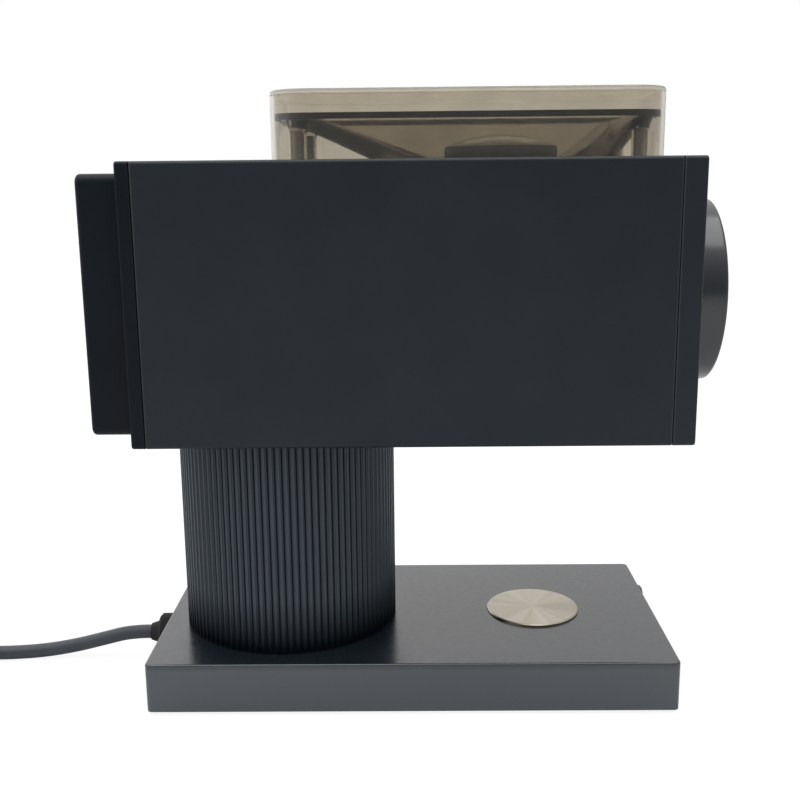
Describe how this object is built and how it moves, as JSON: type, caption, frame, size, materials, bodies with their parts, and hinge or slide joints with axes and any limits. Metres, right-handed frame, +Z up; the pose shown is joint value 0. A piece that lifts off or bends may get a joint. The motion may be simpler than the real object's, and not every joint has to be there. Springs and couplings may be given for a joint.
{
  "type": "electric coffee grinder",
  "caption": "Bench coffee grinder: a boxy motor body with front dial and smoky bean hopper, carried by a fluted column on a flat base with a steel cup disc.",
  "frame": {"origin": "on the table, under the middle of the grinder's length and width, cord left out", "axes": "+X towards the dial, +Y to the right of a user who faces the dial from behind the grinder's back, +Z up"},
  "size_m": [0.4479, 0.1409, 0.2397],
  "materials": {
    "body_paint": "satin",
    "base_paint": "fine satin",
    "column_paint": "satin ribs",
    "disc_steel": "turned",
    "dial_paint": "satin",
    "dial_face": "satin",
    "smoke_plastic": "clear smoke",
    "dark_plastic": "matte",
    "rubber": "matte",
    "cord_rubber": "satin",
    "cast_alloy": "as cast",
    "steel": "machined",
    "lamination": "stacked sheet",
    "copper": "enamelled wire",
    "brass": "turned",
    "magnet": "sintered",
    "board": "printed board",
    "capacitor": "moulded",
    "loom": "sleeve",
    "rear_paint": "satin",
    "black_steel": "blackened",
    "plug_plastic": "moulded"
  },
  "bodies": {
    "stand": {"base_casting": "base_paint", "base_cover": "dark_plastic", "base_cover_screws": "steel", "rubber_feet": "rubber", "cup_disc": "disc_steel", "cup_magnet": "magnet", "power_switch": "dark_plastic", "control_board": "board", "wiring_loom": "loom", "column_sleeve": "column_paint", "tie_rods": "steel", "run_capacitor": "capacitor", "body_shell": "body_paint", "front_plate": "body_paint", "chamber_screws": "steel", "adjuster_screws": "steel", "rear_bezel": "rear_paint", "rear_cover": "rear_paint", "rear_cover_screws": "black_steel", "motor_front_bell": "cast_alloy", "motor_rear_bell": "cast_alloy", "motor_bolts": "steel", "motor_stator": "lamination", "motor_windings": "copper", "front_bush": "brass", "rear_bush": "brass", "motor_cradle": "cast_alloy", "return_spring": "steel", "grind_chamber": "cast_alloy", "fixed_burr": "steel", "fixed_burr_screws": "steel", "grounds_chute": "dark_plastic", "adjuster_housing": "cast_alloy", "hopper_funnel": "smoke_plastic", "hopper_screws": "steel", "hopper_seal": "rubber", "throat_collar": "dark_plastic", "finger_guard": "smoke_plastic", "strain_relief": "rubber", "power_cord": "cord_rubber", "cord_coil": "cord_rubber", "cord_tie": "rubber", "mains_plug": "plug_plastic"},
    "dial": {"dial_knob": "dial_paint", "dial_face": "dial_face", "drive_nut": "brass", "retaining_ring": "steel"},
    "spindle": {"thrust_spindle": "steel", "thrust_ball": "steel"},
    "rotor": {"main_shaft": "steel", "motor_rotor": "lamination", "cooling_fan": "dark_plastic", "auger": "steel", "burr_carrier": "steel", "rotating_burr": "steel", "rotating_burr_screws": "steel", "carrier_nut": "steel"},
    "hopper_lid": {"hopper_cover": "smoke_plastic"},
    "button": {"power_button": "dark_plastic"}
  },
  "joints": [
    {"name": "dial_turn", "type": "hinge", "parent": "stand", "child": "dial", "pos_m": [0.1, 0, 0.1611], "axis": [1, 0, 0], "range_deg": [0, 300]},
    {"name": "spindle_shift", "type": "slide", "parent": "stand", "child": "spindle", "axis": [1, 0, 0], "range_m": [-0.00125, 0], "deforming": ["return_spring"]},
    {"name": "shaft_spin", "type": "hinge", "parent": "spindle", "child": "rotor", "pos_m": [0, 0, 0.1611], "axis": [1, 0, 0], "continuous": true},
    {"name": "lid_lift", "type": "slide", "parent": "stand", "child": "hopper_lid", "axis": [0, 0, 1], "range_m": [0, 0.04]},
    {"name": "button_press", "type": "slide", "parent": "stand", "child": "button", "axis": [-1, 0, 0], "range_m": [0, 0.002], "stiffness_N_per_m": 400}
  ],
  "couplings": [
    {"joint": "dial_turn", "follows": "spindle_shift", "rad_per_m": -4188.8}
  ]
}
